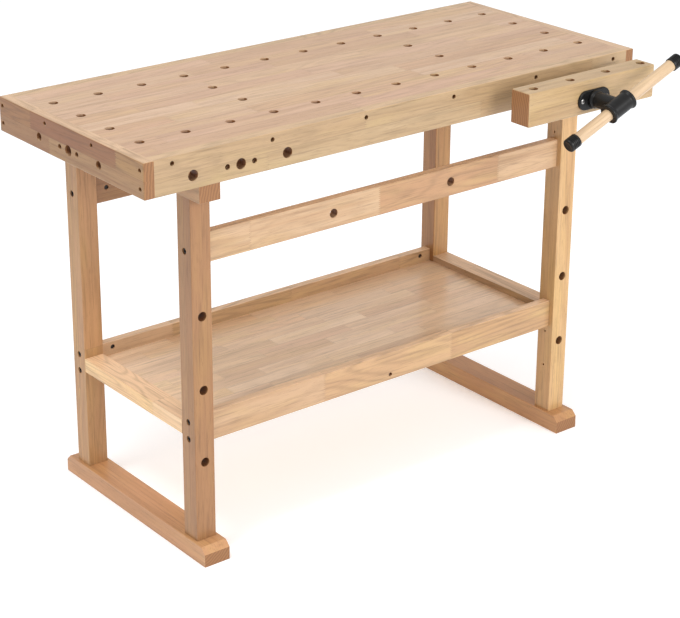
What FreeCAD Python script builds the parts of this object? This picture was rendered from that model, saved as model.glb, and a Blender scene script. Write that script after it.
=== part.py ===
import FreeCAD, Part
import math
import os

# Woodworking bench with one front vise. Millimetres, +Z up, front edge towards -Y.
# Pieces are laid out about the middle of the bench top and the floor, and
# save() then moves them so that the origin is under the middle of the whole box.

Vec = FreeCAD.Vector

# Bench top: a thin panel framed by deep aprons and end skirts
bench_height = 845.0
top_length = 1220.0
top_depth = 508.0
panel_thickness = 25.0
apron_thickness = 25.0
skirt_thickness = 22.0
apron_height = 70.0
top_easing = 2.5

# Dog holes in the panel: two full rows, and two inner rows with fewer holes
dog_hole_radius = 9.5
dog_pitch = 100.0
dog_end_distance = 60.0
outer_row_offset = 150.0
inner_row_offset = 50.0

# End frames: foot, two legs and the bearer that carries the top
end_frame_inset = 141.0
leg_width = 44.0
leg_depth_spacing = 394.0
bearer_width = 46.0
bearer_height = 33.0
bearer_setback = 2.5
foot_width = 58.0
foot_height = 39.0
foot_length = 508.0
foot_chamfer = 12.5
board_easing = 1.5

# Holes on the legs: hold-down holes through the front ones, pilots on the inner faces
leg_hole_low = 204.5
leg_hole_pitch = 151.0
leg_hole_count = 3
pilot_radius = 2.5
pilot_depth = 12.0
pilot_low_height = 145.0
pilot_middle_height = 225.0
pilot_top_drop = 165.0

# Long boards between the end frames
board_thickness = 20.0
stretcher_height = 60.0
stretcher_drop = 209.6
stretcher_hole_spacing = 300.0
shelf_apron_height = 60.0
shelf_apron_middle_height = 269.0

# Shelf
shelf_top_height = 270.0
shelf_thickness = 12.0
shelf_rail_height = 30.0
shelf_rail_middle_height = 269.0
cleat_depth = 16.0
cross_cleat_width = 40.0

# Cap screws with barrel nuts that pull the long boards against the legs
bolt_radius = 3.0
bolt_head_radius = 5.0
bolt_head_height = 6.0
bolt_key_width = 5.0
bolt_key_depth = 3.0
frame_bolt_length = 80.0
bolt_recess_radius = 6.5
bolt_recess_depth = 8.0
shelf_bolt_spacing = 36.0
barrel_radius = 5.0
barrel_length = 14.0
barrel_setback = 30.0
bolt_end_room = 3.0

# Lag bolts that hold the legs between the bearers and the feet
lag_radius = 4.0
lag_length = 80.0
lag_head_width = 13.0
lag_head_height = 5.5
lag_recess_radius = 9.0
lag_recess_depth = 8.0

# Wood screws
screw_radius = 2.25
screw_head_radius = 4.0
screw_head_height = 2.4
screw_tip_length = 6.0
screw_tip_radius = 0.4
cross_slot_width = 1.2
cross_slot_length = 4.0
cross_slot_depth = 1.4
screw_recess_radius = 4.5
panel_screw_recess = 8.0
panel_screw_length = 50.0
panel_screw_end_distance = 60.0
panel_screw_count = 6
skirt_screw_length = 45.0
skirt_screw_offset = 82.0
corner_screw_drop = 17.0
corner_screw_spacing = 35.0
bearer_screw_recess = 5.0
bearer_screw_length = 60.0
cleat_screw_length = 30.0
cleat_screw_end_distance = 57.0
cleat_screw_count = 4
cleat_screw_sink = 0.5
cross_screw_length = 60.0
cross_screw_recess = 6.0
cross_screw_rise = 12.0

# Dowels between the shelf rails and the legs
dowel_radius = 4.0
dowel_length = 40.0
dowel_spacing = 22.0

# Vise drilling, used once for the vise and left spare at the other places
vise_drop = 44.0
vise_end_distance = 217.5
spare_end_distance = 209.0
guide_spacing = 210.0
guide_hole_radius = 10.75
end_guide_hole_radius = 8.25
screw_hole_radius = 10.75
bracket_bolt_spacing = 60.0
bracket_bolt_recess = 5.5
bracket_bolt_sink = 7.0
bracket_bolt_length = 35.0

# Vise
jaw_opening = 50.5
chop_length = 351.0
chop_thickness = 50.0
chop_height = 69.0
chop_drop = 4.0
chop_easing = 3.0
chop_end_rounding = 5.0
chop_dog_count = 4
chop_dog_end_distance = 33.0
chop_screw_hole_radius = 10.75
jaw_travel = 100.0
guide_radius = 10.0
guide_depth_in_chop = 38.0
guide_spare_length = 10.0
guide_tip_chamfer = 1.5
rod_pin_radius = 2.5
rod_pin_height = 44.0
screw_shaft_radius = 10.0
flange_length = 86.0
flange_height = 40.0
flange_thickness = 5.0
flange_rounding = 2.0
flange_screw_spacing = 66.0
flange_screw_length = 20.0
collar_radius = 16.0
collar_length = 8.0
collar_room = 1.0

# Bracket behind the front apron, with the nut and the guide bushes
bracket_plate_length = 250.0
bracket_plate_height = 35.0
bracket_plate_thickness = 8.0
bracket_boss_radius = 16.0
bracket_boss_length = 42.0
bush_wall = 3.0
nut_wall = 3.5
nut_flange_thickness = 4.0
set_screw_radius = 2.5
set_screw_sink = 0.3
hex_nut_width = 10.0
hex_nut_height = 5.0

# Handle and the socket it slides in
socket_reach = 70.0
socket_hub_radius = 16.5
socket_collar_radius = 19.0
socket_collar_length = 7.0
socket_tube_radius = 18.5
socket_rim_radius = 21.0
socket_rim_length = 5.0
socket_length = 62.0
screw_seat_depth = 40.0
socket_pin_radius = 3.0
socket_pin_setback = 28.0
socket_pin_length = 31.0
handle_radius = 12.0
handle_tilt = 22.5
handle_offset = 16.6
cap_spacing = 302.5
cap_radius = 14.0
cap_length = 25.0
cap_end_wall = 4.0
cap_rounding = 3.0
cap_groove_width = 1.6
cap_groove_depth = 0.8
cap_groove_pitch = 4.0
cap_groove_count = 4
cap_groove_start = 6.0

# Clearances
close_fit = 0.05
running_fit = 0.08
slip_fit = 0.3
bolt_hole_fit = 0.3
cut_margin = 1.0

# Places worked out from the sizes
half_length = top_length / 2
half_depth = top_depth / 2
panel_end = half_length - skirt_thickness
panel_edge = half_depth - apron_thickness
panel_underside = bench_height - panel_thickness
apron_underside = bench_height - apron_height
panel_middle = bench_height - panel_thickness / 2
leg_x = half_length - end_frame_inset
leg_y = leg_depth_spacing / 2
leg_inner_x = leg_x - leg_width / 2
leg_outer_x = leg_x + leg_width / 2
leg_inner_y = leg_y - leg_width / 2
leg_top = apron_underside - bearer_height
stretcher_level = bench_height - stretcher_drop
apron_middle_y = half_depth - apron_thickness / 2
shelf_edge = leg_y - board_thickness / 2
shelf_underside = shelf_top_height - shelf_thickness
cleat_underside = shelf_apron_middle_height - shelf_apron_height / 2
cleat_middle = (shelf_underside + cleat_underside) / 2
cleat_face = shelf_edge - cleat_depth
shelf_bolt_levels = (shelf_apron_middle_height - shelf_bolt_spacing / 2,
                     shelf_apron_middle_height + shelf_bolt_spacing / 2)
vise_x = half_length - vise_end_distance
vise_z = bench_height - vise_drop
spare_x = spare_end_distance - half_length
chop_back = -half_depth - jaw_opening
chop_front = chop_back - chop_thickness
chop_middle_y = (chop_back + chop_front) / 2
chop_top = bench_height - chop_drop
flange_front = chop_front - flange_thickness
socket_y = chop_front - socket_reach
screw_head_end = flange_front - screw_seat_depth
bracket_back = -panel_edge + bracket_plate_thickness + bracket_boss_length
rod_tip = bracket_back + jaw_travel + guide_spare_length
socket_centre = Vec(vise_x, socket_y, vise_z)
tilt = math.radians(handle_tilt)
handle_axis = Vec(math.cos(tilt), 0, math.sin(tilt))
handle_middle = socket_centre + handle_axis * handle_offset
handle_half = cap_spacing / 2 + cap_length / 2 - cap_end_wall
front_reach = socket_y - socket_rim_radius
origin_shift = Vec(0, -(front_reach + half_depth) / 2, 0)

right = Vec(1, 0, 0)
back = Vec(0, 1, 0)
up = Vec(0, 0, 1)


# ---- shapes and small helpers ----

def save(name, solids):
    """Write one piece, or a group of like pieces, in the final frame."""
    shape = solids if not isinstance(solids, list) else Part.makeCompound(solids)
    moved = shape.copy()
    moved.translate(origin_shift)
    moved.exportStep(os.path.join("parts", name + ".step"))


def block(x_low, x_high, y_low, y_high, z_low, z_high):
    """A plain board from its lowest and highest corners."""
    size = Vec(x_high - x_low, y_high - y_low, z_high - z_low)
    return Part.makeBox(size.x, size.y, size.z, Vec(x_low, y_low, z_low))


def rod(radius, start, direction, length):
    return Part.makeCylinder(radius, length, start, direction)


def drill(solid, cutters):
    """Cut every hole of a list out of a board."""
    return solid.cut(Part.makeCompound(cutters)).Solids[0]


def lies_on(edge, axis, place):
    bounds = edge.BoundBox
    low = {"x": bounds.XMin, "y": bounds.YMin, "z": bounds.ZMin}[axis]
    high = {"x": bounds.XMax, "y": bounds.YMax, "z": bounds.ZMax}[axis]
    return abs(low - place) < 0.01 and abs(high - place) < 0.01


def ease(solid, radius, lines):
    """Round the edges that lie on both planes of any (axis, place, axis, place) line."""
    edges = []
    for first_axis, first, second_axis, second in lines:
        for edge in solid.Edges:
            if lies_on(edge, first_axis, first) and lies_on(edge, second_axis, second):
                edges.append(edge)
    return solid.makeFillet(radius, edges)


def long_board(x_low, x_high, y_low, y_high, z_low, z_high, along):
    """A board with its four long edges eased."""
    solid = block(x_low, x_high, y_low, y_high, z_low, z_high)
    sides = {"x": (x_low, x_high), "y": (y_low, y_high), "z": (z_low, z_high)}
    first, second = [axis for axis in "xyz" if axis != along]
    lines = [(first, a, second, b) for a in sides[first] for b in sides[second]]
    return ease(solid, board_easing, lines)


def placed(shape, point, direction):
    """Move a shape built along +Z at the origin to a point and a direction."""
    copy = shape.copy()
    copy.Placement = FreeCAD.Placement(point, FreeCAD.Rotation(up, direction))
    return copy


def hex_prism(width, height):
    corner = width / math.sqrt(3)
    points = [Vec(corner * math.cos(math.radians(60 * k)), corner * math.sin(math.radians(60 * k)), 0)
              for k in range(7)]
    return Part.Face(Part.makePolygon(points)).extrude(up * height)


# ---- fasteners, built with the head's seat at the origin and the shank along +Z ----

def cap_screw(length):
    """Cap screw with a hexagon socket."""
    head = rod(bolt_head_radius, up * -bolt_head_height, up, bolt_head_height)
    socket = hex_prism(bolt_key_width, bolt_key_depth)
    socket.translate(up * -bolt_head_height)
    shank = rod(bolt_radius, Vec(), up, length)
    return head.fuse(shank).cut(socket)


def cap_screw_hole(length, recess_radius, recess):
    """Clearance hole with a recess for the head."""
    shank = rod(bolt_radius + bolt_hole_fit, Vec(), up, length)
    return shank.fuse(rod(recess_radius, up * -recess, up, recess))


def lag_bolt():
    """Hexagon-headed bolt for end grain."""
    head = hex_prism(lag_head_width, lag_head_height)
    head.translate(up * -lag_head_height)
    shank = rod(lag_radius, Vec(), up, lag_length - screw_tip_length)
    tip = Part.makeCone(lag_radius, screw_tip_radius, screw_tip_length,
                        up * (lag_length - screw_tip_length), up)
    return head.fuse([shank, tip])


def lag_hole():
    shank = rod(lag_radius + close_fit, Vec(), up, lag_length + close_fit)
    return shank.fuse(rod(lag_recess_radius, up * -lag_recess_depth, up, lag_recess_depth))


def wood_screw_body(length, slack):
    """Countersunk head, shank and point; the head's flat face is at the origin."""
    head = Part.makeCone(screw_head_radius + slack, screw_radius + slack, screw_head_height, Vec(), up)
    shank_length = length - screw_head_height - screw_tip_length
    shank = rod(screw_radius + slack, up * screw_head_height, up, shank_length)
    tip = Part.makeCone(screw_radius + slack, screw_tip_radius + slack, screw_tip_length + slack,
                        up * (length - screw_tip_length), up)
    return head.fuse([shank, tip])


def wood_screw(length):
    """Countersunk wood screw with a cross recess."""
    half_slot = cross_slot_length / 2
    half_width = cross_slot_width / 2
    slot = block(-half_slot, half_slot, -half_width, half_width, 0, cross_slot_depth)
    other = block(-half_width, half_width, -half_slot, half_slot, 0, cross_slot_depth)
    return wood_screw_body(length, 0).cut(slot.fuse(other))


def wood_screw_hole(length, recess):
    """The screw's own shape with a close fit, and a recess over its head."""
    return wood_screw_body(length, close_fit).fuse(rod(screw_recess_radius, up * -recess, up, recess))


# ---- places of the fasteners: (point on the head's seat, direction into the wood) ----

def spread(reach, count):
    """Evenly spaced places from -reach to reach."""
    return [reach * (2 * k / (count - 1) - 1) for k in range(count)]


def panel_screw_seats(side):
    """Screws through an apron into the panel's edge; side is -1 at the front, 1 at the back."""
    y = side * (half_depth - panel_screw_recess)
    return [(Vec(x, y, panel_middle), back * -side)
            for x in spread(half_length - panel_screw_end_distance, panel_screw_count)]


def skirt_panel_seats(side):
    x = side * (half_length - panel_screw_recess)
    return [(Vec(x, y, panel_middle), right * -side) for y in (-skirt_screw_offset, skirt_screw_offset)]


def corner_seats(side):
    """Screws through an end skirt into the ends of both aprons."""
    x = side * (half_length - panel_screw_recess)
    top_level = bench_height - corner_screw_drop
    levels = (top_level, top_level - corner_screw_spacing)
    return [(Vec(x, y, z), right * -side) for y in (-apron_middle_y, apron_middle_y) for z in levels]


def bearer_screw_seats(end):
    """Screws up through a bearer into both aprons; end is -1 at the left, 1 at the right."""
    z = leg_top + bearer_screw_recess
    return [(Vec(end * leg_x, y, z), up) for y in (-apron_middle_y, apron_middle_y)]


def frame_bolt_seats(end, side, levels):
    x = end * (leg_outer_x - bolt_recess_depth)
    return [(Vec(x, side * leg_y, z), right * -end) for z in levels]


def leg_top_seat(end, side):
    return (Vec(end * leg_x, side * leg_y, apron_underside - lag_recess_depth), up * -1)


def leg_foot_seat(end, side):
    return (Vec(end * leg_x, side * leg_y, lag_recess_depth), up)


def cleat_screw_seats(side):
    y = side * (cleat_face + cleat_screw_sink)
    return [(Vec(x, y, cleat_middle), back * side)
            for x in spread(leg_inner_x - cleat_screw_end_distance, cleat_screw_count)]


def cross_cleat_seat(side):
    y = side * (leg_y + board_thickness / 2 - cross_screw_recess)
    return (Vec(0, y, cleat_underside + cross_screw_rise), back * -side)


def bracket_bolt_seats():
    y = bracket_bolt_sink - half_depth
    offset = bracket_bolt_spacing / 2
    return [(Vec(vise_x + dx, y, vise_z), back) for dx in (-offset, offset)]


def fasteners(shape, seats):
    return [placed(shape, point, direction) for point, direction in seats]


# ---- bench top ----

def dog_places():
    """Centres of all dog holes on the panel."""
    columns = int((top_length - 2 * dog_end_distance) / dog_pitch + 0.01) + 1
    first = -dog_pitch * (columns - 1) / 2
    places = []
    for column in range(columns):
        x = first + dog_pitch * column
        places += [(x, -outer_row_offset), (x, outer_row_offset)]
        if column in (0, 3, columns - 4, columns - 1):
            places += [(x, -inner_row_offset), (x, inner_row_offset)]
    return places


def vise_drilling(centre, along, inward, depth, guide_hole):
    """Screw hole, two guide holes and two recessed bolt holes of one vise position."""
    holes = [rod(guide_hole, centre + along * offset, inward, depth)
             for offset in (-guide_spacing / 2, guide_spacing / 2)]
    holes.append(rod(screw_hole_radius, centre, inward, depth))
    bolt_hole = cap_screw_hole(depth, bracket_bolt_recess, bracket_bolt_sink)
    for offset in (-bracket_bolt_spacing / 2, bracket_bolt_spacing / 2):
        seat = centre + along * offset + inward * bracket_bolt_sink
        holes.append(placed(bolt_hole, seat, inward))
    return holes


def make_top_panel():
    panel = block(-panel_end, panel_end, -panel_edge, panel_edge, panel_underside, bench_height)
    holes = [rod(dog_hole_radius, Vec(x, y, panel_underside), up, panel_thickness)
             for x, y in dog_places()]
    apron_hole = wood_screw_hole(panel_screw_length, panel_screw_recess)
    skirt_hole = wood_screw_hole(skirt_screw_length, panel_screw_recess)
    for side in (-1, 1):
        holes += fasteners(apron_hole, panel_screw_seats(side))
        holes += fasteners(skirt_hole, skirt_panel_seats(side))
    return drill(panel, holes)


def make_apron(side):
    """Front or back apron, between the end skirts."""
    inner, outer = sorted((side * panel_edge, side * half_depth))
    apron = block(-panel_end, panel_end, inner, outer, apron_underside, bench_height)
    face = side * half_depth
    apron = ease(apron, top_easing, [("y", face, "z", bench_height), ("y", face, "z", apron_underside)])
    holes = fasteners(wood_screw_hole(panel_screw_length, panel_screw_recess), panel_screw_seats(side))
    corner_hole = wood_screw_hole(skirt_screw_length, panel_screw_recess)
    bearer_hole = wood_screw_hole(bearer_screw_length, bearer_screw_recess)
    for end in (-1, 1):
        holes += fasteners(corner_hole, corner_seats(end))
        holes += fasteners(bearer_hole, bearer_screw_seats(end))
    if side < 0:
        for x in (vise_x, spare_x):
            centre = Vec(x, -half_depth, vise_z)
            holes += vise_drilling(centre, right, back, apron_thickness, guide_hole_radius)
    return drill(apron, holes)


def make_skirt(end):
    """End skirt over the full depth, screwed to the panel and to both aprons."""
    low, high = sorted((end * panel_end, end * half_length))
    skirt = block(low, high, -half_depth, half_depth, apron_underside, bench_height)
    face = end * half_length
    lines = [("x", face, "z", bench_height), ("x", face, "z", apron_underside)]
    for y in (-half_depth, half_depth):
        lines += [("y", y, "z", bench_height), ("y", y, "z", apron_underside), ("x", face, "y", y)]
    skirt = ease(skirt, top_easing, lines)
    hole = wood_screw_hole(skirt_screw_length, panel_screw_recess)
    holes = fasteners(hole, skirt_panel_seats(end) + corner_seats(end))
    centre = Vec(face, 0, vise_z)
    holes += vise_drilling(centre, back, right * -end, skirt_thickness, end_guide_hole_radius)
    return drill(skirt, holes)


# ---- end frames ----

def make_bearer(end):
    half = half_depth - bearer_setback
    x = end * leg_x
    bearer = block(x - bearer_width / 2, x + bearer_width / 2, -half, half, leg_top, apron_underside)
    lines = [("x", x + dx, "z", leg_top) for dx in (-bearer_width / 2, bearer_width / 2)]
    lines += [("y", y, "z", leg_top) for y in (-half, half)]
    bearer = ease(bearer, board_easing, lines)
    holes = fasteners(wood_screw_hole(bearer_screw_length, bearer_screw_recess), bearer_screw_seats(end))
    holes += fasteners(lag_hole(), [leg_top_seat(end, side) for side in (-1, 1)])
    return drill(bearer, holes)


def make_foot(end):
    x = end * leg_x
    half = foot_length / 2
    foot = block(x - foot_width / 2, x + foot_width / 2, -half, half, 0, foot_height)
    ends = [edge for edge in foot.Edges if lies_on(edge, "z", foot_height)
            and (lies_on(edge, "y", -half) or lies_on(edge, "y", half))]
    foot = foot.makeChamfer(foot_chamfer, ends)
    long_edges = [("x", x + dx, "z", foot_height) for dx in (-foot_width / 2, foot_width / 2)]
    foot = ease(foot, board_easing, long_edges)
    return drill(foot, fasteners(lag_hole(), [leg_foot_seat(end, side) for side in (-1, 1)]))


def make_leg(end, side):
    x = end * leg_x
    y = side * leg_y
    half = leg_width / 2
    leg = long_board(x - half, x + half, y - half, y + half, foot_height, leg_top, "z")
    holes = fasteners(lag_hole(), [leg_top_seat(end, side), leg_foot_seat(end, side)])
    bolt_hole = cap_screw_hole(frame_bolt_length, bolt_recess_radius, bolt_recess_depth)
    levels = shelf_bolt_levels + (stretcher_level,)
    holes += fasteners(bolt_hole, frame_bolt_seats(end, side, levels))
    holes += [rod(pilot_radius, Vec(end * leg_inner_x, y, z), right * end, pilot_depth)
              for z in (pilot_low_height, pilot_middle_height, bench_height - pilot_top_drop)]
    holes += [rod(dowel_radius + close_fit, point, back * -side, dowel_length)
              for point in dowel_places(end, side)]
    if side < 0:
        holes += [rod(dog_hole_radius, Vec(x, y - half, leg_hole_low + leg_hole_pitch * k), back, leg_width)
                  for k in range(leg_hole_count)]
    return drill(leg, holes)


# ---- long boards and shelf ----

def dowel_places(end, side):
    """Outer ends of the two dowels between a shelf rail and a leg."""
    y = side * (leg_inner_y + dowel_length / 2)
    return [Vec(end * leg_x + dx, y, shelf_rail_middle_height) for dx in (-dowel_spacing / 2, dowel_spacing / 2)]


def barrel_places(side, levels):
    """Centres of the barrel nuts at both ends of a long board."""
    x = leg_inner_x - barrel_setback
    return [Vec(end * x, side * leg_y, z) for end in (-1, 1) for z in levels]


def make_long_board(side, level, height, bolt_levels):
    """A board between the legs, with its bolt holes and blind barrel-nut holes."""
    inner, outer = sorted((side * shelf_edge, side * (shelf_edge + board_thickness)))
    board = long_board(-leg_inner_x, leg_inner_x, inner, outer, level - height / 2, level + height / 2, "x")
    bolt_hole = cap_screw_hole(frame_bolt_length + bolt_end_room, bolt_recess_radius, bolt_recess_depth)
    holes = []
    for end in (-1, 1):
        holes += fasteners(bolt_hole, frame_bolt_seats(end, side, bolt_levels))
    blind_end = leg_y + barrel_length / 2
    for point in barrel_places(side, bolt_levels):
        start = Vec(point.x, side * shelf_edge, point.z)
        holes.append(rod(barrel_radius + close_fit, start, back * side, blind_end - shelf_edge))
    return board, holes


def make_stretcher(side):
    board, holes = make_long_board(side, stretcher_level, stretcher_height, (stretcher_level,))
    if side < 0:
        start_y = -leg_y - board_thickness / 2
        for x in (-stretcher_hole_spacing / 2, stretcher_hole_spacing / 2):
            holes.append(rod(dog_hole_radius, Vec(x, start_y, stretcher_level), back, board_thickness))
    return drill(board, holes)


def make_shelf_apron(side):
    board, holes = make_long_board(side, shelf_apron_middle_height, shelf_apron_height, shelf_bolt_levels)
    holes += fasteners(wood_screw_hole(cross_screw_length, cross_screw_recess), [cross_cleat_seat(side)])
    holes += fasteners(wood_screw_hole(cleat_screw_length, cleat_screw_sink), cleat_screw_seats(side))
    return drill(board, holes)


def make_shelf_rail(end):
    x = end * leg_x
    rail = long_board(x - leg_width / 2, x + leg_width / 2, -leg_inner_y, leg_inner_y,
                      shelf_rail_middle_height - shelf_rail_height / 2, shelf_rail_middle_height + shelf_rail_height / 2, "y")
    holes = [rod(dowel_radius + close_fit, point, back * -side, dowel_length)
             for side in (-1, 1) for point in dowel_places(end, side)]
    return drill(rail, holes)


def make_cleat(side):
    low, high = sorted((side * cleat_face, side * shelf_edge))
    cleat = block(-leg_inner_x, leg_inner_x, low, high, cleat_underside, shelf_underside)
    holes = fasteners(wood_screw_hole(cleat_screw_length, cleat_screw_sink), cleat_screw_seats(side))
    holes += fasteners(wood_screw_hole(cross_screw_length, cross_screw_recess), [cross_cleat_seat(side)])
    return drill(cleat, holes)


def make_cross_cleat():
    half = cross_cleat_width / 2
    cleat = block(-half, half, -cleat_face, cleat_face, cleat_underside, shelf_underside)
    hole = wood_screw_hole(cross_screw_length, cross_screw_recess)
    return drill(cleat, fasteners(hole, [cross_cleat_seat(side) for side in (-1, 1)]))


def make_barrel_nuts():
    nuts = []
    for side in (-1, 1):
        for point in barrel_places(side, shelf_bolt_levels + (stretcher_level,)):
            nut = rod(barrel_radius, point - back * (barrel_length / 2), back, barrel_length)
            reach = barrel_radius + cut_margin
            thread = rod(bolt_radius + close_fit, point - right * reach, right, 2 * reach)
            nuts.append(nut.cut(thread).Solids[0])
    return nuts


# ---- vise parts fixed to the bench ----

def guide_centres(y):
    return [Vec(vise_x + dx, y, vise_z) for dx in (-guide_spacing / 2, guide_spacing / 2)]


def make_bracket():
    """Plate bolted behind the apron, with bosses for the nut and for both guide bushes."""
    half = bracket_plate_length / 2
    front = -panel_edge
    plate = block(vise_x - half, vise_x + half, front, front + bracket_plate_thickness,
                  vise_z - bracket_plate_height / 2, vise_z + bracket_plate_height / 2)
    lines = [("x", vise_x + dx, "z", vise_z + dz) for dx in (-half, half)
             for dz in (-bracket_plate_height / 2, bracket_plate_height / 2)]
    bracket = ease(plate, board_easing, lines)
    nut_centre = Vec(vise_x, front, vise_z)
    bosses = [rod(bracket_boss_radius, centre, back, bracket_back - front)
              for centre in guide_centres(front) + [nut_centre]]
    bracket = bracket.fuse(bosses).removeSplitter()
    bush_hole = guide_radius + running_fit + bush_wall + close_fit
    nut_hole = screw_shaft_radius + running_fit + nut_wall + close_fit
    bores = [rod(bush_hole, centre, back, bracket_back - front) for centre in guide_centres(front)]
    bores.append(rod(nut_hole, nut_centre, back, bracket_back - front))
    bores += [rod(bolt_radius + bolt_hole_fit, point, direction, bracket_bolt_length)
              for point, direction in bracket_bolt_seats()]
    bores.append(rod(set_screw_radius + close_fit, set_screw_start(), up, bracket_boss_radius))
    return drill(bracket, bores)


def set_screw_start():
    return Vec(vise_x, bracket_back - bracket_boss_length / 2, vise_z - bracket_boss_radius)


def make_set_screw():
    """Grub screw from below that stops the nut turning."""
    length = bracket_boss_radius - nut_outer_radius() - set_screw_sink
    return rod(set_screw_radius, set_screw_start() + up * set_screw_sink, up, length)


def nut_outer_radius():
    return screw_shaft_radius + running_fit + nut_wall


def make_screw_nut():
    """Flanged nut; its flange bears on the back of the bracket."""
    start = Vec(vise_x, -panel_edge, vise_z)
    length = bracket_back + panel_edge
    body = rod(nut_outer_radius(), start, back, length + nut_flange_thickness)
    flange = rod(bracket_boss_radius, start + back * length, back, nut_flange_thickness)
    bore = rod(screw_shaft_radius + running_fit, start, back, length + nut_flange_thickness)
    return body.fuse(flange).cut(bore).Solids[0]


def make_guide_bush(centre):
    length = bracket_back - centre.y
    outer = rod(guide_radius + running_fit + bush_wall, centre, back, length)
    return outer.cut(rod(guide_radius + running_fit, centre, back, length)).Solids[0]


def make_bracket_nuts():
    nut = hex_prism(hex_nut_width, hex_nut_height).cut(
        rod(bolt_radius + close_fit, Vec(), up, hex_nut_height))
    y = -panel_edge + bracket_plate_thickness
    return [placed(nut, Vec(point.x, y, point.z), back) for point, direction in bracket_bolt_seats()]


# ---- vise jaw ----

def chop_dog_places():
    """The chop's dog holes; the first stands in line with a column of the bench top."""
    first = vise_x - chop_length / 2 + chop_dog_end_distance
    return [first + dog_pitch * k for k in range(chop_dog_count)]


def make_chop():
    half = chop_length / 2
    chop_bottom = chop_top - chop_height
    chop = block(vise_x - half, vise_x + half, chop_front, chop_back, chop_bottom, chop_top)
    corners = [("x", vise_x + dx, "y", chop_front) for dx in (-half, half)]
    chop = ease(chop, chop_end_rounding, corners)
    rims = [edge for edge in chop.Edges if lies_on(edge, "z", chop_top) or lies_on(edge, "z", chop_bottom)]
    front_rims = [edge for edge in rims if edge.BoundBox.YMin < chop_back - cut_margin]
    chop = chop.makeFillet(chop_easing, front_rims)
    holes = [rod(dog_hole_radius, Vec(x, chop_middle_y, chop_bottom), up, chop_height)
             for x in chop_dog_places()]
    screw_start = Vec(vise_x, chop_front, vise_z)
    holes.append(rod(chop_screw_hole_radius, screw_start, back, chop_thickness))
    holes.append(rod(collar_radius + collar_room, screw_start, back, collar_length + collar_room))
    holes += [rod(guide_radius + close_fit, centre, back * -1, guide_depth_in_chop)
              for centre in guide_centres(chop_back)]
    holes += [rod(rod_pin_radius + close_fit, point, up, rod_pin_height) for point in rod_pin_places()]
    holes += fasteners(wood_screw_body(flange_screw_length, close_fit), flange_screw_seats())
    return drill(chop, holes)


def rod_pin_places():
    """Bottom ends of the pins that hold the guide rods in the chop."""
    bottom = chop_top - chop_height
    return [Vec(centre.x, chop_middle_y, bottom) for centre in guide_centres(chop_back)]


def make_guide_rod(centre):
    start = centre - back * guide_depth_in_chop
    guide = rod(guide_radius, start, back, rod_tip - start.y)
    tip = [edge for edge in guide.Edges if lies_on(edge, "y", rod_tip)]
    guide = guide.makeChamfer(guide_tip_chamfer, tip)
    pin_holes = [rod(rod_pin_radius + close_fit, point, up, rod_pin_height) for point in rod_pin_places()]
    return drill(guide, pin_holes)


def flange_screw_seats():
    """Countersunk screws of the flange, flush with its front face."""
    return [(Vec(vise_x + dx, flange_front, vise_z), back)
            for dx in (-flange_screw_spacing / 2, flange_screw_spacing / 2)]


def make_flange():
    """Oval plate on the front of the chop that the screw turns in."""
    reach = (flange_length - flange_height) / 2
    radius = flange_height / 2
    ends = [rod(radius, Vec(vise_x + dx, flange_front, vise_z), back, flange_thickness)
            for dx in (-reach, reach)]
    middle = block(vise_x - reach, vise_x + reach, flange_front, chop_front, vise_z - radius, vise_z + radius)
    plate = middle.fuse(ends).removeSplitter()
    front_edges = [edge for edge in plate.Edges if lies_on(edge, "y", flange_front)]
    plate = plate.makeFillet(flange_rounding, front_edges)
    holes = [rod(screw_shaft_radius + running_fit, Vec(vise_x, flange_front, vise_z), back, flange_thickness)]
    holes += fasteners(wood_screw_body(flange_screw_length, close_fit), flange_screw_seats())
    return drill(plate, holes)


# ---- vise screw and handle ----

def make_vise_screw():
    start = Vec(vise_x, screw_head_end, vise_z)
    shaft = rod(screw_shaft_radius, start, back, rod_tip - start.y)
    ends = [edge for edge in shaft.Edges if lies_on(edge, "y", rod_tip)]
    shaft = shaft.makeChamfer(guide_tip_chamfer, ends)
    return drill(shaft, [socket_pin_hole()])


def make_collar():
    """Ring on the screw, between the flange and the chop, that pulls the jaw open."""
    centre = Vec(vise_x, chop_front + close_fit, vise_z)
    ring = rod(collar_radius, centre, back, collar_length)
    return ring.cut(rod(screw_shaft_radius + close_fit, centre, back, collar_length)).Solids[0]


def socket_pin_start():
    return Vec(vise_x, flange_front - socket_pin_setback, vise_z - socket_pin_length / 2)


def socket_pin_hole():
    reach = socket_hub_radius + cut_margin
    start = Vec(vise_x, socket_pin_start().y, vise_z - reach)
    return rod(socket_pin_radius + close_fit, start, up, 2 * reach)


def make_socket():
    """T-shaped casting: a hub on the screw's end and a tube across it for the handle."""
    hub_start = Vec(vise_x, flange_front, vise_z)
    hub = rod(socket_hub_radius, hub_start, back * -1, flange_front - socket_y)
    collar = rod(socket_collar_radius, hub_start, back * -1, socket_collar_length)
    tube_start = socket_centre - handle_axis * (socket_length / 2)
    tube = rod(socket_tube_radius, tube_start, handle_axis, socket_length)
    rims = [rod(socket_rim_radius, tube_start, handle_axis, socket_rim_length),
            rod(socket_rim_radius, tube_start + handle_axis * (socket_length - socket_rim_length),
                handle_axis, socket_rim_length)]
    body = hub.fuse([collar, tube] + rims).removeSplitter()
    bar_hole = rod(handle_radius + slip_fit, tube_start, handle_axis, socket_length)
    screw_hole = rod(screw_shaft_radius + close_fit, hub_start, back * -1, screw_seat_depth)
    return drill(body, [bar_hole, screw_hole, socket_pin_hole()])


def make_handle_bar():
    start = handle_middle - handle_axis * handle_half
    return rod(handle_radius, start, handle_axis, 2 * handle_half)


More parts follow.
